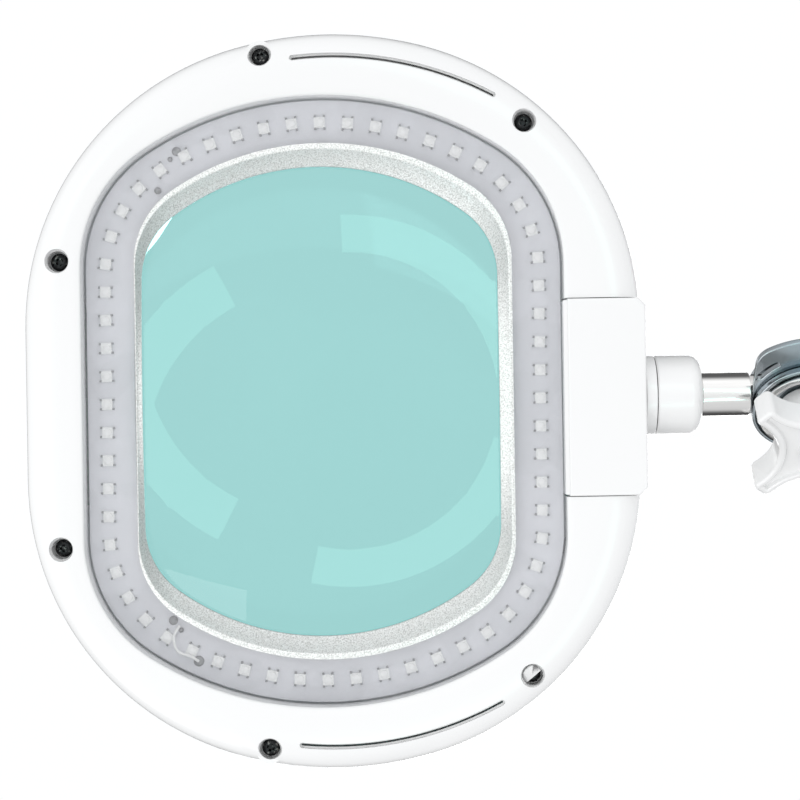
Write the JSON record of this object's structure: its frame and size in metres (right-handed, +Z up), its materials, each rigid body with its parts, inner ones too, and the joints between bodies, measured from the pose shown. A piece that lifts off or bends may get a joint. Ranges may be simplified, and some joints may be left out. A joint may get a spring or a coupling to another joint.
{
  "type": "magnifying lamp",
  "caption": "Table-clamp magnifying lamp: an oval lens in a white light-ring head with a hinged cover, on a knobbed tilt joint and a two-section parallel arm.",
  "frame": {"origin": "on the underside of the clamp's upper jaw, on the axis of the post the arm swivels on", "axes": "+Z up along the post; +X is the way the clamp opens and the arm reaches; the arm stands in the XZ plane and the tilt knob faces -Y"},
  "size_m": [0.6825, 0.3096, 0.9833],
  "materials": {
    "white_plastic": "glossy moulded white plastic",
    "clear_cover": "frosted translucent light cover",
    "led_board": "white solder mask",
    "circuit_board": "green solder mask",
    "lens_glass": "clear glass with a teal tint",
    "bezel_silver": "silver grey, fine sparkle",
    "black_screw": "black oxide",
    "black_plastic": "fine satin",
    "chrome": "bright plated",
    "zinc_steel": "bright zinc plated, drawn grain",
    "spring_steel": "bright spring wire",
    "white_enamel": "white powder coat"
  },
  "bodies": {
    "clamp": {"clamp_frame": "white_enamel"},
    "clamp_pad": {"clamp_pad": "black_plastic"},
    "clamp_screw": {"clamp_screw": "zinc_steel", "clamp_knob": "white_plastic"},
    "base": {"base_post": "zinc_steel", "base_bracket": "zinc_steel", "base_pin_1": "zinc_steel", "base_pin_2": "zinc_steel"},
    "lower_arm": {"lower_rail": "white_enamel", "lower_spring": "spring_steel"},
    "lower_link": {"lower_link_rail": "white_enamel"},
    "elbow": {"elbow_plate_near": "zinc_steel", "elbow_plate_far": "zinc_steel", "elbow_pin_1": "zinc_steel", "elbow_pin_2": "zinc_steel", "elbow_pin_3": "zinc_steel", "elbow_pin_4": "zinc_steel"},
    "upper_arm": {"upper_rail": "white_enamel", "upper_spring": "spring_steel"},
    "upper_link": {"upper_link_rail": "white_enamel"},
    "head_bracket": {"head_plate_near": "zinc_steel", "head_plate_far": "zinc_steel", "head_pin_1": "zinc_steel", "head_pin_2": "zinc_steel", "tilt_tongue": "zinc_steel"},
    "neck": {"neck_hub": "white_plastic", "neck_spindle": "zinc_steel", "spindle_nut": "zinc_steel", "neck_rod": "chrome", "fork_plate_near": "zinc_steel", "fork_plate_far": "zinc_steel", "tilt_cup_washer": "zinc_steel", "tilt_friction_ring": "chrome", "tilt_far_washer": "zinc_steel", "tilt_bolt": "zinc_steel"},
    "tilt_knob": {"tilt_knob": "white_plastic"},
    "head": {"front_housing": "white_plastic", "back_housing": "white_plastic", "led_cover": "clear_cover", "led_board": "led_board", "lens": "lens_glass", "lens_retainer": "bezel_silver", "driver_board": "circuit_board", "mount_block_front": "white_plastic", "mount_block_back": "white_plastic", "housing_screw_1": "black_screw", "housing_screw_2": "black_screw", "housing_screw_3": "black_screw", "housing_screw_4": "black_screw", "housing_screw_5": "black_screw", "housing_screw_6": "black_screw", "cover_hinge_pin": "spring_steel", "dc_inlet": "black_plastic", "swivel_collar": "white_plastic"},
    "lens_cover": {"lens_cover": "white_plastic"},
    "power_button": {"power_button": "black_plastic"}
  },
  "joints": [
    {"name": "base_swivel", "type": "hinge", "parent": "clamp", "child": "base", "pos_m": [0, 0, 0.05], "axis": [0, 0, 1], "continuous": true},
    {"name": "lower_arm_lift", "type": "hinge", "parent": "base", "child": "lower_arm", "pos_m": [-0.016, 0, 0.092], "axis": [0, -1, 0], "range_deg": [-28, 27]},
    {"name": "lower_link_swing", "type": "hinge", "parent": "base", "child": "lower_link", "pos_m": [0.016, 0, 0.092], "axis": [0, -1, 0], "range_deg": [-28, 27]},
    {"name": "elbow_level", "type": "hinge", "parent": "lower_arm", "child": "elbow", "pos_m": [-0.13343, 0, 0.4534], "axis": [0, -1, 0], "range_deg": [-27, 28]},
    {"name": "upper_arm_lift", "type": "hinge", "parent": "elbow", "child": "upper_arm", "pos_m": [-0.11743, 0, 0.5234], "axis": [0, -1, 0], "range_deg": [-38, 20]},
    {"name": "upper_link_swing", "type": "hinge", "parent": "elbow", "child": "upper_link", "pos_m": [-0.11743, 0, 0.4914], "axis": [0, -1, 0], "range_deg": [-38, 20]},
    {"name": "head_level", "type": "hinge", "parent": "upper_arm", "child": "head_bracket", "pos_m": [0.18404, 0, 0.65763], "axis": [0, -1, 0], "range_deg": [-20, 38]},
    {"name": "neck_tilt", "type": "hinge", "parent": "head_bracket", "child": "neck", "pos_m": [0.23404, 0, 0.64563], "axis": [0, -1, 0], "range_deg": [-35, 45]},
    {"name": "tilt_knob_turn", "type": "hinge", "parent": "neck", "child": "tilt_knob", "pos_m": [0.23404, 0, 0.64563], "axis": [0, -1, 0], "range_deg": [-180, 180]},
    {"name": "head_roll", "type": "hinge", "parent": "neck", "child": "head", "pos_m": [0.23404, 0, 0.64563], "axis": [1, 0, 0], "range_deg": [-45, 90]},
    {"name": "cover_hinge", "type": "hinge", "parent": "head", "child": "lens_cover", "pos_m": [0.31454, 0.01796, 0.66358], "axis": [0, 0.7071, -0.7071], "range_deg": [-20, 84]},
    {"name": "power_button_press", "type": "slide", "parent": "head", "child": "power_button", "axis": [0, -0.7071, -0.7071], "range_m": [0, 0.0015], "stiffness_N_per_m": 900, "springref_m": -0.0006},
    {"name": "clamp_pad_travel", "type": "slide", "parent": "clamp", "child": "clamp_pad", "axis": [0, 0, 1], "range_m": [-0.02, 0.028]},
    {"name": "clamp_screw_turn", "type": "hinge", "parent": "clamp_pad", "child": "clamp_screw", "pos_m": [0.006, 0, -0.09], "axis": [0, 0, 1], "range_deg": [-2410, 3370]}
  ],
  "couplings": [
    {"joint": "lower_link_swing", "follows": "lower_arm_lift", "ratio": 1},
    {"joint": "elbow_level", "follows": "lower_arm_lift", "ratio": -1},
    {"joint": "upper_link_swing", "follows": "upper_arm_lift", "ratio": 1},
    {"joint": "head_level", "follows": "upper_arm_lift", "ratio": -1},
    {"joint": "clamp_screw_turn", "follows": "clamp_pad_travel", "rad_per_m": 2094.4}
  ]
}
